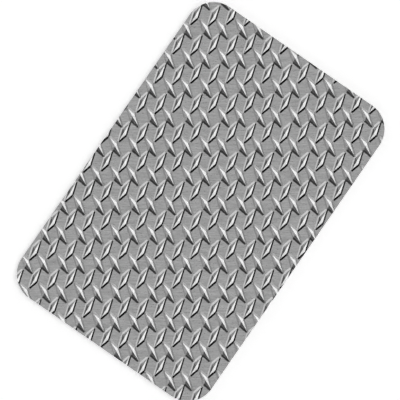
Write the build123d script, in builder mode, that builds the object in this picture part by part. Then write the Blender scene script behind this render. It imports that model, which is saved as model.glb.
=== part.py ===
"""Checker steel plate: one hot-rolled sheet with raised lugs, cut to a rounded rectangle.

The plate lies flat with its lugs up. X runs along the long side, Y along the short side and
Z upwards, and the origin is the middle of the plain underside. All sizes are in millimetres,
and all angles in degrees.
"""

import os
from math import ceil, hypot

from build123d import *

# The cut plate
plate_length = 368.0  # along X
plate_width = 240.0  # along Y
sheet_thickness = 5.0  # of the flat sheet between the lugs
corner_radius = 30.0  # of the four corners, seen from above

# One lug, which is a slim parallelogram seen from above, with its two sharp ends cut blunt
lug_length = 24.1  # from one blunt tip to the other, along its axis
lug_width = 9.75  # from one side corner to the other, square to its axis
pointed_length = 34.8  # from tip to tip, if its sides ran on until they met
side_corner_shift = 2.7  # how far each side corner lies from mid length
shoulder_height = 1.2  # of the four steep flanks
flank_peak_height = 3.12  # where the flanks would meet over the middle, if they ran on
crown_rise = 0.8  # of the four shallow facets, from the shoulder up to the peak

# The rolled pattern: rows of lugs that lean forward, and rows between them that lean back
lug_lean = 59.0  # from the row to a lug's axis
lug_pitch = 18.63  # from one lug to the next in a row
row_pitch = 30.5  # from one row of forward lugs to the next
backward_shift = 9.65  # from a forward lug along its row to the backward lug that follows it
backward_drop = 14.6  # from a row of forward lugs down to the backward row below it
forward_stagger = 0.65  # every other forward lug sits this far above its row, the rest below it
backward_stagger = 0.70  # every other backward lug is this far ahead in its row, the rest behind
row_direction = -55.4  # from the plate's long side to the rows
first_lug = (-5.05, 11.1)  # a forward lug near the middle, along and across the rows

lug_height = shoulder_height + crown_rise


def pattern_place(along, across):
    """A place on top of the sheet, given along and across the rows of lugs."""
    rows_on_sheet = Location((0, 0, sheet_thickness), (0, 0, row_direction))
    return rows_on_sheet * Location((along, across, 0))


def reaches_plate(place):
    """Whether a lug at this place can lie on the plate, in whole or in part."""
    half_lug = lug_length / 2
    near_in_x = abs(place.position.X) < plate_length / 2 + half_lug
    near_in_y = abs(place.position.Y) < plate_width / 2 + half_lug
    return near_in_x and near_in_y


def lug_places(start, stagger):
    """Places of all the lugs of one lean, with neighbours staggered to opposite sides."""
    reach = hypot(plate_length, plate_width) / 2 + hypot(*start) + lug_length
    columns = ceil(reach / lug_pitch)
    rows = ceil(reach / row_pitch)
    places = []
    for row in range(-rows, rows + 1):
        for column in range(-columns, columns + 1):
            side = 1 if (row + column) % 2 == 0 else -1
            along = start[0] + column * lug_pitch + side * stagger[0]
            across = start[1] + row * row_pitch + side * stagger[1]
            places.append(pattern_place(along, across))
    return [place for place in places if reaches_plate(place)]


with BuildSketch() as lug_foot:
    with BuildLine():
        Polyline(
            (pointed_length / 2, 0),
            (side_corner_shift, lug_width / 2),
            (-pointed_length / 2, 0),
            (-side_corner_shift, -lug_width / 2),
            close=True,
        )
    make_face()

with BuildPart() as lug:
    loft([lug_foot.sketch.face(), Vertex(0, 0, flank_peak_height)])
    split(bisect_by=Plane.XY.offset(shoulder_height), keep=Keep.BOTTOM)
    shoulder = lug.faces().sort_by(Axis.Z)[-1]
    loft([shoulder, Vertex(0, 0, lug_height)])
    # The sharp ends are cut off square to the axis
    Box(lug_length, 2 * lug_width, 2 * lug_height, mode=Mode.INTERSECT)

with BuildPart() as forward_lug:
    add(lug.part, rotation=(0, 0, lug_lean))

with BuildPart() as backward_lug:
    mirror(forward_lug.part, about=Plane.YZ)

with BuildPart() as plate:
    with BuildSketch() as outline:
        RectangleRounded(plate_length, plate_width, corner_radius)
    extrude(amount=sheet_thickness)
    with Locations(*lug_places(first_lug, (0, forward_stagger))):
        add(forward_lug.part, clean=False)
    first_backward_lug = (first_lug[0] + backward_shift, first_lug[1] - backward_drop)
    with Locations(*lug_places(first_backward_lug, (backward_stagger, 0))):
        add(backward_lug.part, clean=False)
    # The outline is cut through sheet and lugs alike, as a blank is cut from rolled stock
    full_height = sheet_thickness + lug_height
    extrude(outline.sketch, amount=full_height, mode=Mode.INTERSECT, clean=False)

plate.part.label = "checker_plate"

os.makedirs("parts", exist_ok=True)
export_step(plate.part, "parts/checker_plate.step")
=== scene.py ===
from math import cos, radians, sin

import bmesh
import bpy
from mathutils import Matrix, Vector


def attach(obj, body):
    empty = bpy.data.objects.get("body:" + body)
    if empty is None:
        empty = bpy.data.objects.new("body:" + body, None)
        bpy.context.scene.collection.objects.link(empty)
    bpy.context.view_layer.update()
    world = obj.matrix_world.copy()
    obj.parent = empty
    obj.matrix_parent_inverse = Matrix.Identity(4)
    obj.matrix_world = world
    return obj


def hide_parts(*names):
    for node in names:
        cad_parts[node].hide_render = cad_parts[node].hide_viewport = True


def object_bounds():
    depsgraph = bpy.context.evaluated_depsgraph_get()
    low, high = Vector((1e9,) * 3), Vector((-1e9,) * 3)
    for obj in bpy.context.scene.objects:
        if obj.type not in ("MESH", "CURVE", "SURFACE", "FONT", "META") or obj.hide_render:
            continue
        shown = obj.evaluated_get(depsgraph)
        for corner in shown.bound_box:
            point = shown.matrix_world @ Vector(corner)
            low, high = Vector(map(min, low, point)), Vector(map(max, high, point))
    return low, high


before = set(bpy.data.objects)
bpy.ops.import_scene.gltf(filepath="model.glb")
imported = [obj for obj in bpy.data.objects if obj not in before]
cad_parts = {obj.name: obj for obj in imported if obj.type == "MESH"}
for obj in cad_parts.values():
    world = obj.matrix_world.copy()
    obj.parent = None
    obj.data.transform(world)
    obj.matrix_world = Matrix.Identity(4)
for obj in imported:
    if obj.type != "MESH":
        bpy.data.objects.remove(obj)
cadLow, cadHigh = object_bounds()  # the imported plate's own box
print("frame loaded")

mm = 0.001

# The rows of lugs run level across the picture, and the plate lies turned
rowDirection = -55.4  # degrees, from the plate's long side to the rows

photo = {
    "size": 400.0,  # pixels each way
    "plateMiddle": (200.66, 201.63),  # pixels from the top left corner
    "pixel": 1.0414 * mm,  # what one pixel covers, the same near and far
    "cameraHeight": 1.5,  # metres above the sheet
}

# Levels of the rolled plate, upwards from the face it lies on
levels = {
    "sheetTop": cadLow.z + 5.0 * mm,
    "shoulder": cadLow.z + 6.2 * mm,  # where a lug's flanks end and its crown begins
}

bpy.context.scene.view_settings.view_transform = "Standard"


def deselectAll():
    if bpy.context.object and bpy.context.object.mode != "OBJECT":
        bpy.ops.object.mode_set(mode="OBJECT")
    bpy.ops.object.select_all(action="DESELECT")


def activate(piece):
    deselectAll()
    piece.select_set(True)
    bpy.context.view_layer.objects.active = piece


# Camera

def addCamera():
    turn = radians(rowDirection)
    right = Vector((cos(turn), sin(turn), 0))
    up = Vector((-sin(turn), cos(turn), 0))
    half = photo["size"] / 2
    aside = (half - photo["plateMiddle"][0]) * photo["pixel"]
    above = (photo["plateMiddle"][1] - half) * photo["pixel"]
    place = right * aside + up * above + Vector((0, 0, levels["sheetTop"] + photo["cameraHeight"]))
    bpy.ops.object.camera_add(location=place, rotation=(0, 0, turn))
    camera = bpy.context.object
    camera.name = "overheadCamera"
    camera.data.type = "ORTHO"
    camera.data.ortho_scale = photo["size"] * photo["pixel"]
    bpy.context.scene.camera = camera


addCamera()
print("camera placed")


# Node helpers

def newMaterial(name):
    material = bpy.data.materials.new(name)
    material.use_nodes = True
    material.node_tree.nodes.clear()
    return material, material.node_tree


def addNode(tree, kind, at, **settings):
    node = tree.nodes.new(kind)
    node.location = at
    for name, value in settings.items():
        setattr(node, name, value)
    return node


def link(tree, start, end):
    tree.links.new(start, end)


def fill(node, **values):
    for name, value in values.items():
        node.inputs[name].default_value = value
    return node


# Blends two values or two colours by a mask

def addBlend(tree, at, mask, low, high, kind="FLOAT"):
    mix = addNode(tree, "ShaderNodeMix", at, data_type=kind)
    maskPlace, lowPlace, highPlace, result = {"FLOAT": (0, 2, 3, 0), "RGBA": (0, 6, 7, 2)}[kind]
    link(tree, mask, mix.inputs[maskPlace])
    for value, place in ((low, lowPlace), (high, highPlace)):
        if isinstance(value, bpy.types.NodeSocket):
            link(tree, value, mix.inputs[place])
        else:
            mix.inputs[place].default_value = value
    return mix.outputs[result]


# Goes from nothing at low to top at high, whichever of the two is the larger

def addRange(tree, at, value, low, high, top=1.0, smooth=True):
    kind = "SMOOTHSTEP" if smooth else "LINEAR"
    ramp = addNode(tree, "ShaderNodeMapRange", at, interpolation_type=kind)
    fill(ramp, **{"From Min": low, "From Max": high, "To Max": top})
    link(tree, value, ramp.inputs["Value"])
    return ramp.outputs["Result"]


def addShaderMix(tree, at, mask, off, on):
    mix = addNode(tree, "ShaderNodeMixShader", at)
    link(tree, mask, mix.inputs["Fac"])
    link(tree, off.outputs[0], mix.inputs[1])
    link(tree, on.outputs[0], mix.inputs[2])
    return mix


# Studio: soft boxes over and beside the plate, each a round patch of sky with a faded rim

studio = {
    "fill": 0.08,  # plain level between the soft boxes
    "backdrop": 1.0,  # what the camera sees past the floor
    # All angles are in degrees: around from the rows' direction, and down from overhead
    "softBoxes": [
        # Overhead, mirrored by the sheet
        {"around": 15, "down": 2, "radius": 10, "fade": 0.7, "strength": 2.6},
        # Half way down, mirrored by the crowns
        {"around": 36, "down": 32, "radius": 17, "fade": 0.5, "strength": 2.9},
        {"around": 110, "down": 27, "radius": 10, "fade": 0.8, "strength": 2.3},
        {"around": 200, "down": 45, "radius": 10, "fade": 0.5, "strength": 2.8},
        {"around": 330, "down": 31, "radius": 16, "fade": 0.4, "strength": 2.8},
        # Low down, mirrored by the flanks and the rim
        {"around": 50, "down": 85, "radius": 37, "fade": 0.5, "strength": 1.1},
        {"around": 125, "down": 62, "radius": 15, "fade": 0.6, "strength": 2.2},
        {"around": 172, "down": 92, "radius": 34, "fade": 0.4, "strength": 1.45},
        {"around": 270, "down": 84, "radius": 42, "fade": 0.4, "strength": 1.0},
        {"around": 350, "down": 92, "radius": 44, "fade": 1.0, "strength": 0.7},
    ],
}


def addSoftBox(tree, direction, box, row):
    around = radians(rowDirection + box["around"])
    down = radians(box["down"])
    facing = addNode(tree, "ShaderNodeVectorMath", (-600, row), operation="DOT_PRODUCT")
    facing.inputs[1].default_value = (sin(down) * cos(around), sin(down) * sin(around), cos(down))
    link(tree, direction, facing.inputs[0])
    apart = addNode(tree, "ShaderNodeMath", (-400, row), operation="ARCCOSINE")
    link(tree, facing.outputs["Value"], apart.inputs[0])
    rim = radians(box["radius"])
    full = radians(box["radius"] * (1 - box["fade"]))
    return addRange(tree, (-200, row), apart.outputs[0], rim, full, top=box["strength"])


def addStudio():
    world = bpy.data.worlds.new("studio")
    world.use_nodes = True
    bpy.context.scene.world = world
    tree = world.node_tree
    tree.nodes.clear()
    direction = addNode(tree, "ShaderNodeTexCoord", (-900, 0)).outputs["Generated"]
    total = None
    for count, box in enumerate(studio["softBoxes"]):
        row = -220 * count
        patch = addSoftBox(tree, direction, box, row)
        add = addNode(tree, "ShaderNodeMath", (0, row), operation="ADD")
        link(tree, patch, add.inputs[0])
        if total:
            link(tree, total, add.inputs[1])
        else:
            add.inputs[1].default_value = studio["fill"]
        total = add.outputs[0]
    sky = addNode(tree, "ShaderNodeBackground", (250, 0))
    fill(sky, Color=(1, 1, 1, 1))
    link(tree, total, sky.inputs["Strength"])
    # Only the camera sees plain white here, because the steel mirrors the soft boxes
    plain = addNode(tree, "ShaderNodeBackground", (250, -200))
    fill(plain, Color=(1, 1, 1, 1), Strength=studio["backdrop"])
    rays = addNode(tree, "ShaderNodeLightPath", (250, 400))
    shown = addShaderMix(tree, (500, 0), rays.outputs["Is Camera Ray"], sky, plain)
    output = addNode(tree, "ShaderNodeOutputWorld", (700, 0))
    link(tree, shown.outputs[0], output.inputs["Surface"])


addStudio()
print("studio lit")


# Floor

floorLook = {
    "reach": 60.0,  # metres along each side, so that it ends at the horizon
    "colour": (0.86, 0.86, 0.86, 1),
    "glow": 0.52,  # lifts the lit floor to plain white and leaves the shadow
    "below": 0.2 * mm,  # under the plate, so that two faces never share a place
}


def addFloor():
    deselectAll()
    place = (0, 0, cadLow.z - floorLook["below"])
    bpy.ops.mesh.primitive_plane_add(size=floorLook["reach"], location=place)
    floor = bpy.context.object
    floor.name = "floor"
    material, tree = newMaterial("paleFloor")
    lit = fill(addNode(tree, "ShaderNodeBsdfDiffuse", (0, 100)), Color=floorLook["colour"])
    glow = fill(addNode(tree, "ShaderNodeEmission", (0, -100)), Strength=floorLook["glow"])
    white = addNode(tree, "ShaderNodeAddShader", (200, 0))
    link(tree, lit.outputs[0], white.inputs[0])
    link(tree, glow.outputs[0], white.inputs[1])
    # The camera, and what metal mirrors or glass lets through, see the floor as white
    rays = addNode(tree, "ShaderNodeLightPath", (-200, 500))
    seen = rays.outputs["Is Camera Ray"]
    for column, kind in ((0, "Is Glossy Ray"), (200, "Is Transmission Ray")):
        either = addNode(tree, "ShaderNodeMath", (column, 400), operation="MAXIMUM")
        link(tree, seen, either.inputs[0])
        link(tree, rays.outputs[kind], either.inputs[1])
        seen = either.outputs[0]
    above = addShaderMix(tree, (400, 0), seen, lit, white)
    # From below the floor is clear, so that the plate's underside can be seen
    side = addNode(tree, "ShaderNodeNewGeometry", (400, 300))
    clear = addNode(tree, "ShaderNodeBsdfTransparent", (400, -200))
    shown = addShaderMix(tree, (600, 0), side.outputs["Backfacing"], above, clear)
    output = addNode(tree, "ShaderNodeOutputMaterial", (800, 0))
    link(tree, shown.outputs[0], output.inputs["Surface"])
    floor.data.materials.append(material)


addFloor()
print("floor laid")


# Grain: fine streaks that lie along the rows of lugs

grainLook = {
    # Grains to the metre: along the rows, across them, and upright
    "Coarse": {"scale": (75, 750, 750), "detail": 5.0},
    "Fine": {"scale": (420, 900, 900), "detail": 4.0},
    "raggedness": 0.55,
    "span": (0.28, 0.72),  # the noise that makes the darkest and the lightest streak
    "speckle": 0.5,  # how much of the fine grain shows in the tone
}


def makeGrainGroup():
    group = bpy.data.node_groups.new("steelGrain", "ShaderNodeTree")

    def addInput(name, kind, value):
        socket = group.interface.new_socket(name, in_out="INPUT", socket_type=kind)
        socket.default_value = value

    addInput("Vector", "NodeSocketVector", (0, 0, 0))
    addInput("Turn", "NodeSocketVector", (0, 0, radians(-rowDirection)))
    addInput("Coarse", "NodeSocketVector", grainLook["Coarse"]["scale"])
    addInput("Fine", "NodeSocketVector", grainLook["Fine"]["scale"])
    addInput("Speckle", "NodeSocketFloat", grainLook["speckle"])
    for name in ("Tone", "Hairline"):
        group.interface.new_socket(name, in_out="OUTPUT", socket_type="NodeSocketFloat")
    start = addNode(group, "NodeGroupInput", (-900, 0))
    end = addNode(group, "NodeGroupOutput", (500, 0))
    turned = addNode(group, "ShaderNodeMapping", (-700, 0))
    link(group, start.outputs["Vector"], turned.inputs["Vector"])
    link(group, start.outputs["Turn"], turned.inputs["Rotation"])
    grains = {}
    for name, row in (("Coarse", 0), ("Fine", -350)):
        drawn = addNode(group, "ShaderNodeMapping", (-450, row))
        link(group, turned.outputs["Vector"], drawn.inputs["Vector"])
        link(group, start.outputs[name], drawn.inputs["Scale"])
        noise = addNode(group, "ShaderNodeTexNoise", (-200, row))
        fill(noise, Scale=1.0, Detail=grainLook[name]["detail"], Roughness=grainLook["raggedness"])
        link(group, drawn.outputs["Vector"], noise.inputs["Vector"])
        streaks = noise.outputs["Fac"]
        grains[name] = addRange(group, (50, row), streaks, *grainLook["span"], smooth=False)
    tone = addBlend(group, (300, 0), start.outputs["Speckle"], grains["Coarse"], grains["Fine"])
    link(group, tone, end.inputs["Tone"])
    link(group, grains["Fine"], end.inputs["Hairline"])
    return group


grainGroup = makeGrainGroup()


def addGrain(tree, at, coordinates, **values):
    grain = addNode(tree, "ShaderNodeGroup", at, node_tree=grainGroup)
    link(tree, coordinates, grain.inputs["Vector"])
    return fill(grain, **values)


def grey(level, warmth=0.0):
    return (level * (1 + warmth), level, level * (1 - warmth), 1)


def finishSteel(tree, tone, roughness, height, depth):
    steel = fill(addNode(tree, "ShaderNodeBsdfPrincipled", (900, 0)), Metallic=1.0)
    link(tree, tone, steel.inputs["Base Color"])
    link(tree, roughness, steel.inputs["Roughness"])
    bump = fill(addNode(tree, "ShaderNodeBump", (700, -400)), Strength=1.0, Distance=depth)
    link(tree, height, bump.inputs["Height"])
    link(tree, bump.outputs["Normal"], steel.inputs["Normal"])
    output = addNode(tree, "ShaderNodeOutputMaterial", (1200, 0))
    link(tree, steel.outputs[0], output.inputs["Surface"])


# Steel whose tone, roughness and relief follow the grain

def makeGrainySteel(name, look):
    material, tree = newMaterial(name)
    coordinates = addNode(tree, "ShaderNodeTexCoord", (-900, 0)).outputs["Object"]
    grain = addGrain(tree, (-600, 0), coordinates, **look["grain"])
    tone = addBlend(tree, (-200, 200), grain.outputs["Tone"], *look["tones"], "RGBA")
    rough = addBlend(tree, (-200, 0), grain.outputs["Hairline"], *look["roughness"])
    finishSteel(tree, tone, rough, grain.outputs[look["relief"]], look["depth"])
    return material


# Brushed sheet between the lugs

sheetLook = {
    "tones": (grey(0.21), grey(0.505)),
    "roughness": (0.26, 0.35),
    "grain": {},  # as the group has it
    "relief": "Hairline",
    "depth": 0.004 * mm,
}

# Edges that handling has rubbed bright, with short grains instead of streaks

edgeLook = {
    "tones": (grey(0.46), grey(0.60)),
    "roughness": (0.24, 0.34),
    "grain": {"Coarse": (700, 700, 700)},
    "relief": "Hairline",
    "depth": 0.003 * mm,
}

# Cut rim, with the fine upright lines that cutting leaves

rimLook = {
    "tones": (grey(0.30, 0.01), grey(0.46, 0.01)),
    "roughness": (0.34, 0.48),
    "grain": {"Coarse": (1100, 1100, 90), "Fine": (3500, 3500, 260)},
    "relief": "Tone",
    "depth": 0.03 * mm,
}


# Lugs: bright crowns, flanks as rolled, and painted shade: the flanks that face one side are painted
# near black

lugLook = {
    "crown": (grey(0.455), grey(0.585)),
    "flank": (grey(0.485), grey(0.615)),
    # painted shade: the near-black tones of the flanks that face one side
    "scale": (grey(0.016), grey(0.040)),
    "paintedShadeSide": 290,  # degrees around from the rows: the side whose flanks are painted dark as shade
    "paintedShadeFrom": 0.08,  # how far a flank leans to that side where the painted shade begins
    "paintedShadeFull": 0.32,  # and where it covers the flank
    "crownRoughness": 0.28,
    "flankRoughness": (0.31, 0.36),  # bare, and under the painted shade
    "blend": 0.06 * mm,  # how far one finish fades into the next at the shoulder
    "depth": 0.004 * mm,
}


def makeLugSteel():
    material, tree = newMaterial("rolledLug")
    source = addNode(tree, "ShaderNodeTexCoord", (-1300, 0))
    grain = addGrain(tree, (-1000, 0), source.outputs["Object"])
    place = addNode(tree, "ShaderNodeSeparateXYZ", (-1000, -400))
    link(tree, source.outputs["Object"], place.inputs[0])
    below = levels["shoulder"] - lugLook["blend"]
    above = levels["shoulder"] + lugLook["blend"]
    crown = addRange(tree, (-700, -400), place.outputs["Z"], below, above)
    # Flanks that lean to one side are painted near black, as shade
    side = radians(rowDirection + lugLook["paintedShadeSide"])
    leaning = addNode(tree, "ShaderNodeVectorMath", (-1000, -600), operation="DOT_PRODUCT")
    leaning.inputs[1].default_value = (cos(side), sin(side), 0)
    link(tree, source.outputs["Normal"], leaning.inputs[0])
    lean = leaning.outputs["Value"]
    paintedShadeMask = addRange(tree, (-700, -600), lean, lugLook["paintedShadeFrom"], lugLook["paintedShadeFull"])
    streak = grain.outputs["Tone"]
    polished = addBlend(tree, (-400, 600), streak, *lugLook["crown"], "RGBA")
    bare = addBlend(tree, (-400, 400), streak, *lugLook["flank"], "RGBA")
    # painted shade on the flanks of that side
    scale = addBlend(tree, (-400, 200), streak, *lugLook["scale"], "RGBA")
    flank = addBlend(tree, (-100, 300), paintedShadeMask, bare, scale, "RGBA")
    tone = addBlend(tree, (200, 400), crown, flank, polished, "RGBA")
    flankRough = addBlend(tree, (-100, -300), paintedShadeMask, *lugLook["flankRoughness"])
    rough = addBlend(tree, (200, -300), crown, flankRough, lugLook["crownRoughness"])
    finishSteel(tree, tone, rough, grain.outputs["Hairline"], lugLook["depth"])
    return material


# Plain underside, duller and cloudy, as it leaves the rolls

undersideLook = {
    "tones": (grey(0.27, 0.01), grey(0.37, 0.01)),
    "roughness": (0.40, 0.52),
    "clouds": {"Scale": 45.0, "Detail": 4.0, "Roughness": 0.6},  # 45 to the metre
    "streaks": 0.4,  # how much the grain adds to the clouds
    "span": (0.35, 1.05),  # the sum that makes the darkest and the lightest place
    "depth": 0.004 * mm,
}


def makeUndersideSteel():
    material, tree = newMaterial("plainUnderside")
    coordinates = addNode(tree, "ShaderNodeTexCoord", (-900, 0)).outputs["Object"]
    grain = addGrain(tree, (-600, 0), coordinates)
    cloud = fill(addNode(tree, "ShaderNodeTexNoise", (-600, 300)), **undersideLook["clouds"])
    link(tree, coordinates, cloud.inputs["Vector"])
    both = addNode(tree, "ShaderNodeMath", (-400, 200), operation="MULTIPLY_ADD")
    both.inputs[1].default_value = undersideLook["streaks"]
    link(tree, grain.outputs["Tone"], both.inputs[0])
    link(tree, cloud.outputs["Fac"], both.inputs[2])
    mottle = addRange(tree, (-200, 200), both.outputs[0], *undersideLook["span"])
    tone = addBlend(tree, (0, 200), mottle, *undersideLook["tones"], "RGBA")
    rough = addBlend(tree, (0, 0), cloud.outputs["Fac"], *undersideLook["roughness"])
    finishSteel(tree, tone, rough, grain.outputs["Hairline"], undersideLook["depth"])
    return material


# The plate itself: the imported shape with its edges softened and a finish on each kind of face

plateShape = {
    "joinWithin": 0.02 * mm,  # corners closer than this are one
    "flatWithin": 0.6,  # degrees: triangles that turn less than this are one face
    "softEdge": 0.12 * mm,
    "softSteps": 2,
    "sharpFrom": 7.0,  # degrees: less than this is the round of an outline corner
    "leastEdge": 0.4 * mm,  # shorter edges, where lugs touch, stay crisp with those that meet them
    "leastFace": 0.004 * mm,  # narrower slivers are taken out
    "smoothBelow": 32.0,  # degrees: what turns more than this is shaded as an edge
    "uprightBelow": 0.3,  # a rim face's normal rises or falls by less than this
    "levelAbove": 0.999,  # and a level face's normal by more than this
    "near": 0.1 * mm,  # a face this far from a level still counts as on it
}


# The kind of a face is told from its normal's rise and its lowest corner

def isSheet(rise, lowest):
    return rise > plateShape["levelAbove"] and lowest < levels["sheetTop"] + plateShape["near"]


def isRim(rise, lowest):
    return abs(rise) < plateShape["uprightBelow"] and lowest < levels["sheetTop"] - plateShape["near"]


def isUnderside(rise, lowest):
    return rise < -plateShape["levelAbove"] and lowest < cadLow.z + plateShape["near"]


def giveFinish(plate, slot, isOfKind):
    points = plate.data.vertices
    for face in plate.data.polygons:
        lowest = min(points[corner].co.z for corner in face.vertices)
        face.select = isOfKind(face.normal.z, lowest)
    plate.active_material_index = slot
    bpy.ops.object.mode_set(mode="EDIT")
    bpy.ops.object.material_slot_assign()
    bpy.ops.mesh.select_all(action="DESELECT")
    bpy.ops.object.mode_set(mode="OBJECT")


def softenEdges(plate, rubbedSlot):
    bpy.ops.object.mode_set(mode="EDIT")
    bpy.ops.mesh.select_mode(type="EDGE")
    bpy.ops.mesh.select_all(action="DESELECT")
    shape = bmesh.from_edit_mesh(plate.data)
    crowded = set()
    for edge in shape.edges:
        if edge.calc_length() < plateShape["leastEdge"]:
            crowded.update(edge.verts)
    for edge in shape.edges:
        turns = edge.calc_face_angle(0) > radians(plateShape["sharpFrom"])
        edge.select_set(turns and edge.is_convex and crowded.isdisjoint(edge.verts))
    bmesh.update_edit_mesh(plate.data)
    bpy.ops.mesh.bevel(
        offset=plateShape["softEdge"],
        segments=plateShape["softSteps"],
        affect="EDGES",
        clamp_overlap=False,
        material=rubbedSlot,
    )
    bpy.ops.mesh.select_all(action="SELECT")
    bpy.ops.mesh.dissolve_degenerate(threshold=plateShape["leastFace"])
    bpy.ops.mesh.select_all(action="DESELECT")
    # Shading runs smoothly along the soft edges alone, and the facets beside them stay flat
    shape = bmesh.from_edit_mesh(plate.data)
    for edge in shape.edges:
        turns = edge.calc_face_angle(0) > radians(plateShape["sharpFrom"])
        rubbed = [face.material_index == rubbedSlot for face in edge.link_faces]
        edge.smooth = all(rubbed) or not (turns or any(rubbed))
    bmesh.update_edit_mesh(plate.data)
    bpy.ops.object.mode_set(mode="OBJECT")


def addPlate():
    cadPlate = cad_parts["checker_plate"]
    plate = bpy.data.objects.new("rolledPlate", cadPlate.data.copy())
    bpy.context.scene.collection.objects.link(plate)
    plate.data.materials.clear()
    activate(plate)
    bpy.ops.mesh.customdata_custom_splitnormals_clear()
    bpy.ops.object.mode_set(mode="EDIT")
    bpy.ops.mesh.select_all(action="SELECT")
    bpy.ops.mesh.remove_doubles(threshold=plateShape["joinWithin"])
    bpy.ops.mesh.dissolve_limited(angle_limit=radians(plateShape["flatWithin"]))
    bpy.ops.mesh.select_all(action="DESELECT")
    bpy.ops.object.mode_set(mode="OBJECT")
    finishes = {
        "lugs": makeLugSteel(),
        "sheet": makeGrainySteel("brushedSheet", sheetLook),
        "rim": makeGrainySteel("cutRim", rimLook),
        "underside": makeUndersideSteel(),
        "edges": makeGrainySteel("rubbedEdge", edgeLook),
    }
    slots = {name: slot for slot, name in enumerate(finishes)}
    for finish in finishes.values():
        plate.data.materials.append(finish)
    # All faces start as the lugs' own, and the other kinds are picked out of them
    giveFinish(plate, slots["sheet"], isSheet)
    giveFinish(plate, slots["rim"], isRim)
    giveFinish(plate, slots["underside"], isUnderside)
    softenEdges(plate, slots["edges"])
    bpy.ops.object.shade_smooth_by_angle(angle=radians(plateShape["smoothBelow"]))
    even = plate.modifiers.new("evenFaces", "WEIGHTED_NORMAL")
    even.keep_sharp = True
    even.weight = 100  # large faces set the normals
    bpy.ops.object.modifier_apply(modifier="evenFaces")
    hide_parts("checker_plate")
    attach(plate, "root")
    return plate


plate = addPlate()
print("plate finished,", len(plate.data.polygons), "faces")
